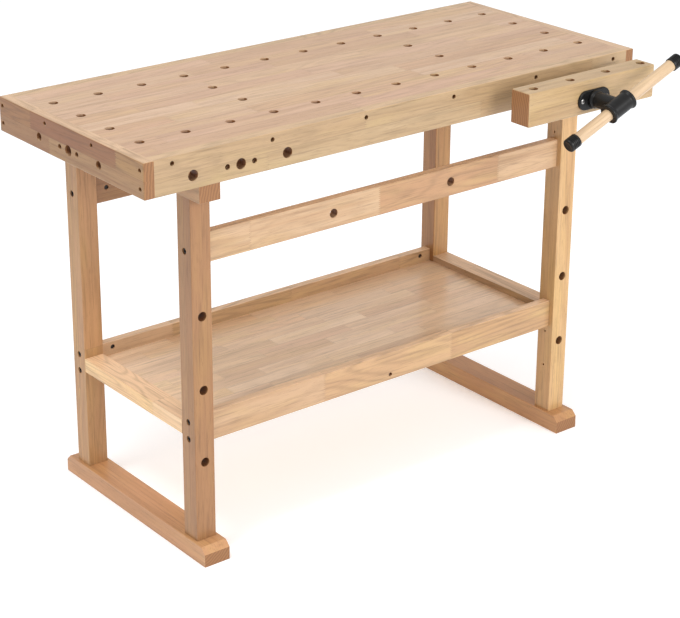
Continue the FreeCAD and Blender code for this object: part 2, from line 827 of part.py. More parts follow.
def make_cap(direction):
    """Grooved end cap with a blind hole for the bar; direction points out of the bar's end."""
    outer_end = handle_middle + direction * (handle_half + cap_end_wall)
    cap = rod(cap_radius, outer_end, direction * -1, cap_length)
    cap = cap.makeFillet(cap_rounding, [edge for edge in cap.Edges
                                        if (edge.CenterOfMass - outer_end).Length < 0.01])
    inner_end = handle_middle + direction * handle_half
    hole = rod(handle_radius + close_fit, inner_end, direction * -1, cap_length)
    grooves = []
    for k in range(cap_groove_count):
        start = outer_end - direction * (cap_groove_start + cap_groove_pitch * k)
        ring = rod(cap_radius + cut_margin, start, direction * -1, cap_groove_width)
        core = rod(cap_radius - cap_groove_depth, start, direction * -1, cap_groove_width)
        grooves.append(ring.cut(core))
    return drill(cap, [hole] + grooves)


# ---- writing the pieces ----

def save_top():
    save("top_panel", make_top_panel())
    save("front_apron", make_apron(-1))
    save("back_apron", make_apron(1))
    save("left_skirt", make_skirt(-1))
    save("right_skirt", make_skirt(1))
    save("panel_screws", fasteners(wood_screw(panel_screw_length),
                                   panel_screw_seats(-1) + panel_screw_seats(1)))
    skirt_seats = [seat for end in (-1, 1) for seat in skirt_panel_seats(end) + corner_seats(end)]
    save("skirt_screws", fasteners(wood_screw(skirt_screw_length), skirt_seats))


def save_end_frames():
    corners = [(end, side) for end in (-1, 1) for side in (-1, 1)]
    end_names = {-1: "left", 1: "right"}
    side_names = {-1: "front", 1: "back"}
    for end in (-1, 1):
        save("bearer_" + end_names[end], make_bearer(end))
        save("foot_" + end_names[end], make_foot(end))
        save("shelf_rail_" + end_names[end], make_shelf_rail(end))
    for end, side in corners:
        save("leg_" + side_names[side] + "_" + end_names[end], make_leg(end, side))
    bearer_seats = bearer_screw_seats(-1) + bearer_screw_seats(1)
    save("bearer_screws", fasteners(wood_screw(bearer_screw_length), bearer_seats))
    save("leg_top_bolts", fasteners(lag_bolt(), [leg_top_seat(*corner) for corner in corners]))
    save("leg_foot_bolts", fasteners(lag_bolt(), [leg_foot_seat(*corner) for corner in corners]))
    dowels = [rod(dowel_radius, point, back * -side, dowel_length)
              for end, side in corners for point in dowel_places(end, side)]
    save("rail_dowels", dowels)


def save_long_boards():
    levels = shelf_bolt_levels + (stretcher_level,)
    seats = []
    for side, name in ((-1, "front"), (1, "back")):
        save("stretcher_" + name, make_stretcher(side))
        save("shelf_apron_" + name, make_shelf_apron(side))
        save("shelf_cleat_" + name, make_cleat(side))
        for end in (-1, 1):
            seats += frame_bolt_seats(end, side, levels)
    save("frame_bolts", fasteners(cap_screw(frame_bolt_length), seats))
    save("barrel_nuts", make_barrel_nuts())


def save_shelf():
    save("shelf_panel", block(-leg_inner_x, leg_inner_x, -shelf_edge, shelf_edge,
                              shelf_underside, shelf_top_height))
    save("shelf_cross_cleat", make_cross_cleat())
    save("cleat_screws", fasteners(wood_screw(cleat_screw_length),
                                   cleat_screw_seats(-1) + cleat_screw_seats(1)))
    save("cross_cleat_screws", fasteners(wood_screw(cross_screw_length),
                                         [cross_cleat_seat(side) for side in (-1, 1)]))


def save_vise():
    save("vise_bracket", make_bracket())
    save("bracket_bolts", fasteners(cap_screw(bracket_bolt_length), bracket_bolt_seats()))
    save("bracket_nuts", make_bracket_nuts())
    save("screw_nut", make_screw_nut())
    save("nut_set_screw", make_set_screw())
    for name, bush, guide in zip(("left", "right"), guide_centres(-panel_edge), guide_centres(chop_back)):
        save("guide_bush_" + name, make_guide_bush(bush))
        save("guide_rod_" + name, make_guide_rod(guide))
    save("vise_chop", make_chop())
    save("guide_rod_pins", [rod(rod_pin_radius, point, up, rod_pin_height) for point in rod_pin_places()])
    save("chop_flange", make_flange())
    save("flange_screws", fasteners(wood_screw(flange_screw_length), flange_screw_seats()))
    save("vise_screw", make_vise_screw())
    save("thrust_collar", make_collar())
    save("handle_socket", make_socket())
    save("socket_pin", rod(socket_pin_radius, socket_pin_start(), up, socket_pin_length))
    save("handle_bar", make_handle_bar())
    save("handle_cap_lower", make_cap(handle_axis * -1))
    save("handle_cap_upper", make_cap(handle_axis))


os.makedirs("parts", exist_ok=True)
save_top()
save_end_frames()
save_long_boards()
save_shelf()
save_vise()
print("origin shift", origin_shift, "jaw travel", jaw_travel, "rod tip", rod_tip)
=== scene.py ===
import bpy
import math
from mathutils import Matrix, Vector


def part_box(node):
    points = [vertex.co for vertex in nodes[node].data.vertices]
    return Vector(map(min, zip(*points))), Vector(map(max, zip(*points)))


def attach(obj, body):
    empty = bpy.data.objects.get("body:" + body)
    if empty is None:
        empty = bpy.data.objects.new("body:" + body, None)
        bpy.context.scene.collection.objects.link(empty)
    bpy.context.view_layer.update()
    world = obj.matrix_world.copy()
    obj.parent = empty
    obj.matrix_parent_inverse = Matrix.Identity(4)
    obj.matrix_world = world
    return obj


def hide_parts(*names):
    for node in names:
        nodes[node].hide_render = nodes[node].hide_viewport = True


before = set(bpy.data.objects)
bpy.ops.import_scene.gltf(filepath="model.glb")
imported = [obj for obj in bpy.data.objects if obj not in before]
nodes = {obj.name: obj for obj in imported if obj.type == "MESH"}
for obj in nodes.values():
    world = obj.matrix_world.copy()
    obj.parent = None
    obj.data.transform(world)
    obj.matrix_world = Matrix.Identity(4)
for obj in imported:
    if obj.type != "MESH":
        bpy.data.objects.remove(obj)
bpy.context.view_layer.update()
print("frame loaded:", len(nodes), "pieces")

xAxis, yAxis, zAxis = Vector((1, 0, 0)), Vector((0, 1, 0)), Vector((0, 0, 1))


def tone(red, green, blue):
    # screen colour, 0 to 255, as the linear colour that shaders use
    def linear(channel):
        share = channel / 255
        return share / 12.92 if channel <= 10 else ((share + 0.055) / 1.055) ** 2.4

    return (linear(red), linear(green), linear(blue), 1.0)


def scaled(colour, factor):
    # a colour made darker or lighter, and opaque
    return (*(factor * channel for channel in colour[:3]), 1.0)


class Link:
    # a shader socket that takes Python's operators; each one adds a Math node

    def __init__(self, finish, socket):
        self.finish = finish
        self.socket = socket

    def math(self, operation, *others):
        return self.finish.node("ShaderNodeMath", {"operation": operation}, [self, *others])

    def __add__(self, other):
        return self.math("ADD", other)

    def __sub__(self, other):
        return self.math("SUBTRACT", other)

    def __mul__(self, other):
        return self.math("MULTIPLY", other)

    def __truediv__(self, other):
        return self.math("DIVIDE", other)

    def __rsub__(self, other):
        return self.math("MULTIPLY_ADD", -1.0, other)

    def __rtruediv__(self, other):
        return self.math("POWER", -1.0) * other

    __radd__ = __add__
    __rmul__ = __mul__

    def clamped(self, low, high):
        # 0 below low, 1 above high, smooth between
        return self.finish.node("ShaderNodeMapRange", {"interpolation_type": "SMOOTHSTEP"},
                                {"Value": self, "From Min": low, "From Max": high})


class Finish:
    # a material with one Principled shader, and the means to add nodes to it

    def __init__(self, name, **even):
        self.material = bpy.data.materials.new(name)
        self.material.use_nodes = True
        self.tree = self.material.node_tree
        self.shader = self.tree.nodes["Principled BSDF"]
        for socketName, value in even.items():
            self.shader.inputs[socketName.replace("_", " ")].default_value = value

    def node(self, kind, settings=None, sockets=None, out=None):
        made = self.tree.nodes.new(kind)
        for setting, value in (settings or {}).items():
            setattr(made, setting, value)
        pairs = enumerate(sockets) if isinstance(sockets, list) else (sockets or {}).items()
        for key, value in pairs:
            inlet = made.inputs[key] if isinstance(key, int) else next(
                s for s in made.inputs if s.enabled and s.name == key)
            if isinstance(value, Link):
                self.tree.links.new(value.socket, inlet)
            else:
                inlet.default_value = value
        outlet = next(s for s in made.outputs if s.enabled and (out is None or s.name == out))
        return Link(self, outlet)

    def feed(self, **links):
        for socketName, link in links.items():
            self.tree.links.new(link.socket, self.shader.inputs[socketName.replace("_", " ")])

    def place(self):
        return self.node("ShaderNodeTexCoord", out="Object")

    def facing(self):
        return self.node("ShaderNodeTexCoord", out="Normal")

    def dot(self, vector, direction):
        return self.node("ShaderNodeVectorMath", {"operation": "DOT_PRODUCT"},
                         [vector, tuple(direction)], out="Value")

    def combine(self, x, y, z):
        return self.node("ShaderNodeCombineXYZ", None, [x, y, z])

    def split(self, vector):
        parts = self.node("ShaderNodeSeparateXYZ", None, [vector])
        return [Link(self, outlet) for outlet in parts.socket.node.outputs]

    def chance(self, vector):
        # three random numbers from a whole-number place
        return self.split(self.node("ShaderNodeTexWhiteNoise", {"noise_dimensions": "3D"},
                                    {"Vector": vector}, out="Color"))

    def noise(self, vector, scale=1.0, detail=2.0, roughness=0.5, distortion=0.0):
        return self.node("ShaderNodeTexNoise", None,
                         {"Vector": vector, "Scale": scale, "Detail": detail,
                          "Roughness": roughness, "Distortion": distortion}, out="Fac")

    def mix(self, factor, first, second):
        return self.node("ShaderNodeMix", {"data_type": "RGBA"}, {"Factor": factor, "A": first, "B": second})

    def bump(self, height, strength, distance):
        return self.node("ShaderNodeBump", None,
                         {"Height": height, "Strength": strength, "Distance": distance}, out="Normal")


def dress(finish, *names):
    for name in names:
        for materialSlot in nodes[name].material_slots:
            materialSlot.material = finish.material


woods = {
    # light, middle, warm and golden tones of the strips, and their size across and along the grain in metres
    "panel": dict(light=(205, 174, 144), middle=(183, 146, 115), warm=(196, 153, 130), golden=(200, 166, 122),
                  strip=0.045, length=0.42, spread=0.95, streaks=1.0, figure=0.6),
    "shelf": dict(light=(248, 221, 188), middle=(218, 183, 148), warm=(230, 184, 153), golden=(237, 205, 158),
                  strip=0.034, length=0.27, spread=0.9, streaks=1.1, figure=0.4, coat=0.5),
    # the upper tones of aprons, skirts and boards are painted light on their upward faces
    "apron": dict(light=(186, 160, 124), middle=(168, 138, 102), warm=(172, 135, 100), golden=(182, 156, 108),
                  strip=0.035, length=0.52, spread=0.9, streaks=1.1, figure=1.0, paintedTopLight=(198, 165, 128)),
    # the skirts' darker tones are partly their own timber and partly painted shade on their sides
    "skirt": dict(light=(166, 132, 90), middle=(134, 89, 56), warm=(138, 78, 48), golden=(160, 121, 72),
                  strip=0.035, length=0.30, spread=1.0, streaks=1.0, figure=0.8, paintedTopLight=(208, 174, 139)),
    "leg": dict(light=(194, 152, 108), middle=(170, 126, 86), warm=(176, 120, 86), golden=(188, 148, 94),
                strip=0.022, length=1.9, spread=1.0, streaks=1.2, figure=0.8),
    "foot": dict(light=(198, 152, 110), middle=(176, 128, 88), warm=(182, 124, 86), golden=(192, 148, 96),
                 strip=0.058, length=1.9, spread=1.0, streaks=1.1, figure=0.3, paintedHoleShade=(0.02, 0.03)),
    "board": dict(light=(206, 176, 142), middle=(178, 140, 104), warm=(184, 134, 98), golden=(196, 162, 112),
                  strip=0.060, length=0.27, spread=1.0, streaks=1.1, figure=0.85, paintedTopLight=(240, 202, 162)),
    "chop": dict(light=(191, 162, 122), middle=(174, 141, 102), warm=(178, 136, 98), golden=(184, 155, 101),
                 strip=0.069, length=1.4, spread=0.6, streaks=1.0, figure=0.9),
    "bar": dict(light=(205, 177, 148), middle=(190, 159, 128), warm=(194, 157, 130), golden=(202, 174, 132),
                strip=0.2, length=2.0, spread=0.4, streaks=0.6, figure=0.4, paintedHoleShade=(0.02, 0.03)),
}
# single boards that are lighter or darker than the rest of their kind, partly by their own timber and partly
# as painted light and shade: the back stretcher's darker tone is painted shade, the left shelf rail's paler
# tone painted light
boardTonesAndPaintedLight = dict(leg_front_left=(0.90, 0.87, 0.84), leg_front_right=(1.07, 1.11, 1.10),
                   leg_back_right=(1.06, 1.05, 1.00), stretcher_back=(0.80, 0.72, 0.64),
                   shelf_rail_left=(1.21, 1.24, 1.26))
# painted shade: how far the inner and outer sides of a leg go towards a darker, redder tone
paintedSideShade = dict(leg_front_right=0.16, leg_back_right=0.42)
# pieces whose joints and tones are chosen, by the number that starts their pattern
boardSeeds = dict(left_skirt=114.0, stretcher_front=1294.0)


# scales of the figure along and across the grain, per metre, and the sizes of joints
figureSizes = dict(swell=(1.3, 13.0), bands=(2.4, 46.0), patches=(5.0, 24.0), shades=(6.0, 150.0),
                   streaks=(9.0, 300.0), flecks=(42.0, 1250.0), fibre=(30.0, 2600.0), pores=1100, arcs=1000,
                   arcWander=7, ringsPerSwell=92, ringSharpness=2.6, fingerWidth=0.0021, fingerSlope=2.6,
                   glueWidth=(0.0001, 0.0005), outerGlue=0.03, pieceRate=(0.75, 0.5), pieceShift=7,
                   stripLayer=3.5, figureShift=(5, 3, 3), heart=(0.02, 0.03), heartShift=(0.05, 0.06))
# where each mark starts to show in its noise, and where it is full
markRanges = dict(shades=(0.5, 0.72), streaks=(0.55, 0.72), flecks=(0.6, 0.72), pores=(0.62, 0.74),
                  patches=(0.45, 0.72), bands=(0.42, 0.72), goldenPieces=(0.5, 0.9), ends=(0.72, 0.9),
                  faces=(0.5, 0.9))
# how strongly each mark shows in the colour and in the relief
markStrengths = dict(shades=0.26, streaks=0.38, flecks=0.4, glue=0.5, paintedHoleShade=0.66, bands=0.7, patches=0.5,
                     goldenPieces=0.4, rings=0.1, ringSpread=0.3, endRings=0.5, endPores=0.35,
                     paintedTopLight=1.1, paintedTopLightBands=0.5, streakDepth=0.35, fleckDepth=0.5, glueDepth=0.7,
                     poreDepth=0.5, fibreHeight=0.3)
woodSheen = dict(ior=1.5, specular=0.36, coat=0.14, coatRoughness=0.2, roughness=0.36, fleckRoughness=0.12,
                 fibreRoughness=0.1, endRoughness=0.15, relief=0.35, reliefHeight=0.00012)
markTones = dict(endLight=tone(154, 108, 68), endDark=tone(104, 66, 38), paintedSideShadeTone=tone(122, 66, 44),
                 paintedHoleShade=tone(104, 62, 40), brightest=250, shade=0.42)
# painted shade inside drilled holes: where it starts below the surface and where it is full
paintedHoleShadeDepth = (0.0013, 0.005)  # where the darker inside of a drilled hole starts and is full


def woodFinish(kind, name, along, across, seed):
    look, sizes, ranges = woods[kind], figureSizes, markRanges
    marks, sheen, tint = markStrengths, woodSheen, markTones
    through = along.cross(across)
    low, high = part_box(name)
    edges = sorted((low.dot(across), high.dot(across)))
    stripCount = max(1, round((edges[1] - edges[0]) / look["strip"]))
    stripWidth = (edges[1] - edges[0]) / stripCount

    shade = boardTonesAndPaintedLight.get(name, (1, 1, 1))
    light, middle, warm, golden = (
        tone(*(min(tint["brightest"], c * n) for c, n in zip(look[kindOfTone], shade)))
        for kindOfTone in ("light", "middle", "warm", "golden"))
    shadeColour = scaled(middle, tint["shade"])
    wood = Finish("wood_" + name, IOR=sheen["ior"], Specular_IOR_Level=sheen["specular"],
                  Coat_Weight=look.get("coat", sheen["coat"]), Coat_Roughness=sheen["coatRoughness"])
    place = wood.place()
    length = wood.dot(place, along)
    width = wood.dot(place, across)
    depth = wood.dot(place, through)

    # strips across the grain, each cut into lengths that meet in finger joints
    strips = (width - edges[0]) / stripWidth
    strip = strips.math("FLOOR").math("MINIMUM", stripCount - 1).math("MAXIMUM", 0)
    stripChance = wood.chance(wood.combine(strip, seed, sizes["stripLayer"]))
    fingers = width.math("PINGPONG", sizes["fingerWidth"]) * (sizes["fingerSlope"] / look["length"])
    leastRate, rateSpread = sizes["pieceRate"]
    lengths = length / look["length"] * (stripChance[0] * rateSpread + leastRate)
    lengths = lengths + stripChance[1] * sizes["pieceShift"] + fingers
    piece = lengths.math("FLOOR")
    pieceChance = wood.chance(wood.combine(strip, piece, seed))

    # the figure starts anew in each length
    figurePlace = [position + chance * shift for position, chance, shift in
                   zip((length, width, depth), pieceChance, sizes["figureShift"])]

    def stretched(mark, **more):
        alongScale, acrossScale = sizes[mark]
        return wood.noise(wood.combine(figurePlace[0] * alongScale, figurePlace[1] * acrossScale,
                                       figurePlace[2] * acrossScale), **more)

    swell = stretched("swell", detail=2.0, distortion=0.6)
    rings = ((swell * sizes["ringsPerSwell"]).math("SINE") * 0.5 + 0.5).math("POWER", sizes["ringSharpness"])
    bands = stretched("bands", detail=3.0)
    patches = stretched("patches", detail=2.0)
    shades = stretched("shades", detail=3.0, roughness=0.6).clamped(*ranges["shades"])
    streaks = stretched("streaks", detail=3.0, roughness=0.6).clamped(*ranges["streaks"])
    flecks = stretched("flecks", detail=2.0).clamped(*ranges["flecks"])
    fibre = stretched("fibre", detail=1.0)

    # end grain: arcs of growth rings and open pores
    facing = wood.facing()
    squareness = wood.dot(facing, along).math("ABSOLUTE").clamped(*ranges["ends"])
    acrossHeart, depthHeart = sizes["heart"]
    acrossShift, depthShift = sizes["heartShift"]
    arcs = wood.node("ShaderNodeVectorMath", {"operation": "LENGTH"},
                     [wood.combine(width - edges[0] + pieceChance[0] * acrossShift + acrossHeart,
                                   depth + pieceChance[1] * depthShift + depthHeart, 0)], out="Value")
    arcWave = (arcs * sizes["arcs"] + bands * sizes["arcWander"]).math("SINE") * 0.5 + 0.5
    pores = wood.noise(wood.combine(width * sizes["pores"], depth * sizes["pores"], piece), detail=1.0)
    pores = pores.clamped(*ranges["pores"])

    tones = wood.mix(pieceChance[0] * look["spread"], light, middle)
    tones = wood.mix(pieceChance[1] * pieceChance[2] * look["spread"], tones, warm)
    goldenShare = patches.clamped(*ranges["patches"]) * marks["patches"]
    goldenShare = goldenShare + pieceChance[2].clamped(*ranges["goldenPieces"]) * marks["goldenPieces"]
    tones = wood.mix(goldenShare, tones, golden)
    tones = wood.mix(bands.clamped(*ranges["bands"]) * marks["bands"], tones, middle)
    if "paintedTopLight" in look:
        # painted light: the upward faces are given a paler tone, to lift them out of the shade under the top
        paintedTopLightShare = wood.dot(facing, zAxis).clamped(*ranges["faces"])
        paintedTopLightShare = paintedTopLightShare * (bands * -marks["paintedTopLightBands"] + marks["paintedTopLight"])
        tones = wood.mix(paintedTopLightShare, tones, tone(*look["paintedTopLight"]))
    if name in paintedSideShade:
        # painted shade on the inner and outer sides of the legs
        paintedSideShadeShare = wood.dot(facing, xAxis).math("ABSOLUTE").clamped(*ranges["faces"])
        tones = wood.mix(paintedSideShadeShare * paintedSideShade[name], tones, tint["paintedSideShadeTone"])
    ringShare = rings * (pieceChance[2] * marks["ringSpread"] + marks["rings"]) * look["figure"]
    tones = wood.mix(ringShare, tones, shadeColour)
    for mark, pattern in (("shades", shades), ("streaks", streaks), ("flecks", flecks)):
        tones = wood.mix(pattern * (marks[mark] * look["streaks"]), tones, shadeColour)
    endShare = arcWave * marks["endRings"] + pores * marks["endPores"]
    tones = wood.mix(squareness, tones, wood.mix(endShare, tint["endLight"], tint["endDark"]))

    # thin glue lines where strips and lengths meet
    stripEdge = strips.math("MAXIMUM", sizes["outerGlue"]).math("MINIMUM", stripCount - sizes["outerGlue"])
    stripEdge = stripEdge.math("PINGPONG", 0.5) * stripWidth
    lengthEdge = lengths.math("PINGPONG", 0.5) * look["length"]
    glue = 1 - stripEdge.math("MINIMUM", lengthEdge).clamped(*sizes["glueWidth"])
    glue = glue * (1 - squareness)
    tones = wood.mix(glue * marks["glue"], tones, shadeColour)

    # painted shade: inside drilled holes the wood is darker, from a little below the surface
    depths = [(part - low[n]).math("PINGPONG", (high[n] - low[n]) / 2)
              for n, part in enumerate(wood.split(place))]
    paintedHoleShade = depths[0].math("MINIMUM", depths[1]).math("MINIMUM", depths[2])
    paintedHoleShade = paintedHoleShade.clamped(*look.get("paintedHoleShade", paintedHoleShadeDepth))
    tones = wood.mix(paintedHoleShade * marks["paintedHoleShade"], tones, tint["paintedHoleShade"])

    hollows = streaks * marks["streakDepth"] + flecks * marks["fleckDepth"] + glue * marks["glueDepth"]
    hollows = hollows + pores * squareness * marks["poreDepth"]
    relief = 1 - hollows + fibre * marks["fibreHeight"]
    roughness = flecks * sheen["fleckRoughness"] + fibre * sheen["fibreRoughness"]
    wood.feed(Base_Color=tones,
              Roughness=roughness + squareness * sheen["endRoughness"] + sheen["roughness"],
              Normal=wood.bump(relief, sheen["relief"], sheen["reliefHeight"]))
    return wood


grained = [
    # kind, grain direction, direction across the strips, pieces
    ("panel", xAxis, yAxis, ["top_panel"]),
    ("apron", xAxis, zAxis, ["front_apron", "back_apron"]),
    ("skirt", yAxis, zAxis, ["left_skirt", "right_skirt"]),
    ("board", yAxis, zAxis, ["bearer_left", "bearer_right"]),
    ("foot", yAxis, xAxis, ["foot_left", "foot_right"]),
    ("board", yAxis, zAxis, ["shelf_rail_left", "shelf_rail_right"]),
    ("leg", zAxis, yAxis, ["leg_front_left", "leg_front_right", "leg_back_left", "leg_back_right"]),
    ("board", xAxis, zAxis, ["stretcher_front", "stretcher_back", "shelf_apron_front", "shelf_apron_back",
                             "shelf_cleat_front", "shelf_cleat_back"]),
    ("shelf", xAxis, yAxis, ["shelf_panel"]),
    ("board", yAxis, xAxis, ["shelf_cross_cleat"]),
    ("chop", xAxis, zAxis, ["vise_chop"]),
]
seed = 1
for kind, along, across, names in grained:
    for name in names:
        dress(woodFinish(kind, name, along, across, boardSeeds.get(name, seed * 13.0)), name)
        seed += 1

tilt = math.radians(22.5)
barAxis = Vector((math.cos(tilt), 0, math.sin(tilt)))
barWood = woodFinish("bar", "handle_bar", barAxis, yAxis, 211.0)
dress(woodFinish("bar", "rail_dowels", zAxis, yAxis, 307.0), "rail_dowels")
print("wood done:", seed + 1, "finishes")


# cloudiness and grain of cast, plated and turned surfaces
metalMarks = dict(cloudScale=90.0, cloud=(0.3, 0.7), cloudRoughness=0.12, grainRoughness=0.16, relief=0.4,
                  turnedScale=2600, turnedCloudScale=60.0, turnedCloud=(0.35, 0.7), turnedDark=0.8,
                  turnedCloudRoughness=0.1, turnedRoughness=0.18, turnedRelief=0.3, turnedDepth=0.00003,
                  roughnessBelow=0.14, darkening=2.2)


def metalFinish(name, colour, roughness, grainScale, grainDepth, metallic=1.0, spread=0.12, gloss=0.5):
    m = metalMarks
    metal = Finish("metal_" + name, Metallic=metallic, Specular_IOR_Level=gloss)
    place = metal.place()
    cloud = metal.noise(place, scale=m["cloudScale"], detail=3.0)
    grain = metal.noise(place, scale=grainScale, detail=2.0)
    dark = scaled(colour, 1 - m["darkening"] * spread)
    unevenness = grain * m["grainRoughness"] + cloud * m["cloudRoughness"]
    metal.feed(Base_Color=metal.mix(cloud.clamped(*m["cloud"]), dark, colour),
               Roughness=unevenness + (roughness - m["roughnessBelow"]),
               Normal=metal.bump(grain, m["relief"], grainDepth))
    return metal


def turnedFinish(name, colour, roughness):
    # fine turning marks round an axis that lies along Y
    m = metalMarks
    metal = Finish("metal_" + name, Metallic=1.0)
    place = metal.place()
    marks = metal.noise(metal.combine(0.0, metal.dot(place, yAxis) * m["turnedScale"], 0.0), detail=2.0)
    cloud = metal.noise(place, scale=m["turnedCloudScale"], detail=3.0)
    dark = scaled(colour, m["turnedDark"])
    unevenness = marks * m["turnedRoughness"] + cloud * m["turnedCloudRoughness"]
    metal.feed(Base_Color=metal.mix(cloud.clamped(*m["turnedCloud"]), dark, colour),
               Roughness=unevenness + (roughness - m["roughnessBelow"]),
               Normal=metal.bump(marks, m["turnedRelief"], m["turnedDepth"]))
    return metal


zinc = metalFinish("zinc", tone(196, 194, 188), 0.34, 900.0, 0.00002)
brightZinc = metalFinish("bright_zinc", tone(168, 166, 163), 0.34, 900.0, 0.00001)
yellowZinc = metalFinish("yellow_zinc", tone(190, 164, 108), 0.4, 900.0, 0.00002)
# dark brown for the frame bolts and barrel nuts: black oxide, and painted shade of the bores and corners they
# sit in
blackOxideAndShade = metalFinish("black_oxide_and_shade", tone(44, 36, 32), 0.5, 900.0, 0.00002, metallic=0.3)
groundSteel = turnedFinish("ground_steel", tone(206, 206, 204), 0.26)
blackCasting = metalFinish("black_casting", tone(19, 18, 18), 0.42, 1500.0, 0.00006,
                           metallic=0.0, spread=0.16, gloss=0.3)
nutBronze = metalFinish("nut_bronze", tone(190, 148, 86), 0.36, 700.0, 0.00002)
bushNylon = metalFinish("bush_nylon", tone(226, 222, 208), 0.5, 500.0, 0.00002, metallic=0.0, spread=0.05)
capPlastic = metalFinish("cap_plastic", tone(17, 16, 16), 0.38, 1100.0, 0.00003,
                         metallic=0.0, spread=0.12, gloss=0.3)

dress(zinc, "bearer_screws", "leg_top_bolts", "leg_foot_bolts", "cleat_screws", "cross_cleat_screws",
      "bracket_bolts", "bracket_nuts", "nut_set_screw", "guide_rod_pins")
dress(yellowZinc, "panel_screws", "skirt_screws")
# the dark tone of the frame bolts and barrel nuts holds painted shade of their recesses
dress(blackOxideAndShade, "frame_bolts", "barrel_nuts")
dress(groundSteel, "guide_rod_left", "guide_rod_right", "thrust_collar", "socket_pin")
dress(blackCasting, "vise_bracket", "chop_flange")
dress(nutBronze, "screw_nut")
dress(bushNylon, "guide_bush_left", "guide_bush_right")
print("metal and plastic done")


def deselect():
    if bpy.context.object and bpy.context.object.mode != "OBJECT":
        bpy.ops.object.mode_set(mode="OBJECT")
    bpy.ops.object.select_all(action="DESELECT")


def added(name):
    piece = bpy.context.object
    piece.name = piece.data.name = name
    return piece


def modified(piece, kind, **settings):
    modifier = piece.modifiers.new(kind.lower(), kind)
    for setting, value in settings.items():
        setattr(modifier, setting, value)
    bpy.context.view_layer.objects.active = piece
    bpy.ops.object.modifier_apply(modifier=modifier.name)


mergeDistance = 0.00002


def settle(piece):
    # place into the mesh, and normals outwards
    deselect()
    piece.select_set(True)
    bpy.context.view_layer.objects.active = piece
    bpy.ops.object.transform_apply(location=True, rotation=True, scale=True)
    bpy.ops.object.mode_set(mode="EDIT")
    bpy.ops.mesh.select_all(action="SELECT")
    bpy.ops.mesh.remove_doubles(threshold=mergeDistance)
    bpy.ops.mesh.normals_make_consistent(inside=False)
    bpy.ops.object.mode_set(mode="OBJECT")
    return piece


def turned(name, rings, centre, axis, sides):
    # a ring of edges drawn out and sized step by step, as on a lathe: (distance along the axis, radius)
    deselect()
    start, radius = rings[0]
    bpy.ops.mesh.primitive_circle_add(vertices=sides, radius=radius, fill_type="NGON", location=(0, 0, start))
    piece = added(name)
    bpy.ops.object.transform_apply(location=True, rotation=False, scale=False)
    bpy.ops.object.mode_set(mode="EDIT")
    bpy.ops.mesh.select_all(action="SELECT")
    for (before, beforeRadius), (after, afterRadius) in zip(rings, rings[1:]):
        bpy.ops.mesh.extrude_region_move(TRANSFORM_OT_translate={"value": (0, 0, after - before)})
        bpy.ops.transform.resize(value=(afterRadius / beforeRadius, afterRadius / beforeRadius, 1),
                                 center_override=(0, 0, after))
    bpy.ops.object.mode_set(mode="OBJECT")
    piece.rotation_mode = "QUATERNION"
    piece.rotation_quaternion = zAxis.rotation_difference(axis)
    piece.location = centre
    return settle(piece)


def finished(piece, finish, body, node):
    piece.data.materials.clear()
    piece.data.materials.append(finish.material)
    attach(piece, body)
    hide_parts(node)


def smoothed(piece, angle):
    deselect()
    piece.select_set(True)
    bpy.context.view_layer.objects.active = piece
    bpy.ops.object.shade_smooth_by_angle(angle=math.radians(angle))


screwSizes = dict(lead=0.005, root=0.0079, rootWidth=0.0032, crestWidth=0.0013, threadStart=0.092,
                  tipChamfer=0.0015, bury=0.0004, runOut=0.002, sides=48, stepsPerTurn=36, smoothAngle=32)


def makeViseScrew():
    s = screwSizes
    low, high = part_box("vise_screw")
    crest = (high.x - low.x) / 2
    centre = Vector(((low.x + high.x) / 2, low.y, (low.z + high.z) / 2))
    full = high.y - low.y
    threadFrom = s["threadStart"]
    shaft = turned("vise_screw_threaded",
                   [(0.0, crest), (threadFrom, crest), (threadFrom + s["runOut"], s["root"]),
                    (full - s["tipChamfer"], s["root"]), (full, s["root"] - s["tipChamfer"])],
                   centre, yAxis, sides=s["sides"])
    # one tooth's outline, drawn out along the helix by a Screw modifier
    deselect()
    inner = s["root"] - s["bury"]
    bpy.ops.mesh.primitive_plane_add(size=1, location=((inner + crest) / 2, 0, 0),
                                     rotation=(math.radians(90), 0, 0))
    tooth = added("tooth")
    tooth.scale = (crest - inner, s["rootWidth"], 1)
    bpy.ops.object.transform_apply(location=True, rotation=True, scale=True)
    bpy.ops.object.mode_set(mode="EDIT")
    bpy.ops.mesh.select_all(action="DESELECT")
    bpy.ops.object.mode_set(mode="OBJECT")
    for vertex in tooth.data.vertices:
        vertex.select = vertex.co.x > (inner + crest) / 2
    bpy.ops.object.mode_set(mode="EDIT")
    bpy.ops.transform.resize(value=(1, 1, s["crestWidth"] / s["rootWidth"]), center_override=(crest, 0, 0))
    bpy.ops.mesh.select_all(action="SELECT")
    bpy.ops.mesh.delete(type="ONLY_FACE")
    bpy.ops.object.mode_set(mode="OBJECT")
    turns = int((full - threadFrom - s["rootWidth"]) / s["lead"])
    modified(tooth, "SCREW", axis="Z", angle=math.radians(360), screw_offset=s["lead"], iterations=turns,
             steps=s["stepsPerTurn"], render_steps=s["stepsPerTurn"],
             use_merge_vertices=True, merge_threshold=mergeDistance / 2)
    bpy.ops.object.mode_set(mode="EDIT")
    bpy.ops.mesh.select_all(action="SELECT")
    bpy.ops.mesh.fill_holes(sides=6)
    bpy.ops.object.mode_set(mode="OBJECT")
    tooth.rotation_euler = (math.radians(-90), 0, 0)
    tooth.location = centre + yAxis * (threadFrom + s["rootWidth"] / 2)
    settle(tooth)
    deselect()
    tooth.select_set(True)
    shaft.select_set(True)
    bpy.context.view_layer.objects.active = shaft
    bpy.ops.object.join()
    smoothed(shaft, s["smoothAngle"])
    finished(shaft, groundSteel, "vise_screw", "vise_screw")


makeViseScrew()
print("vise screw done")


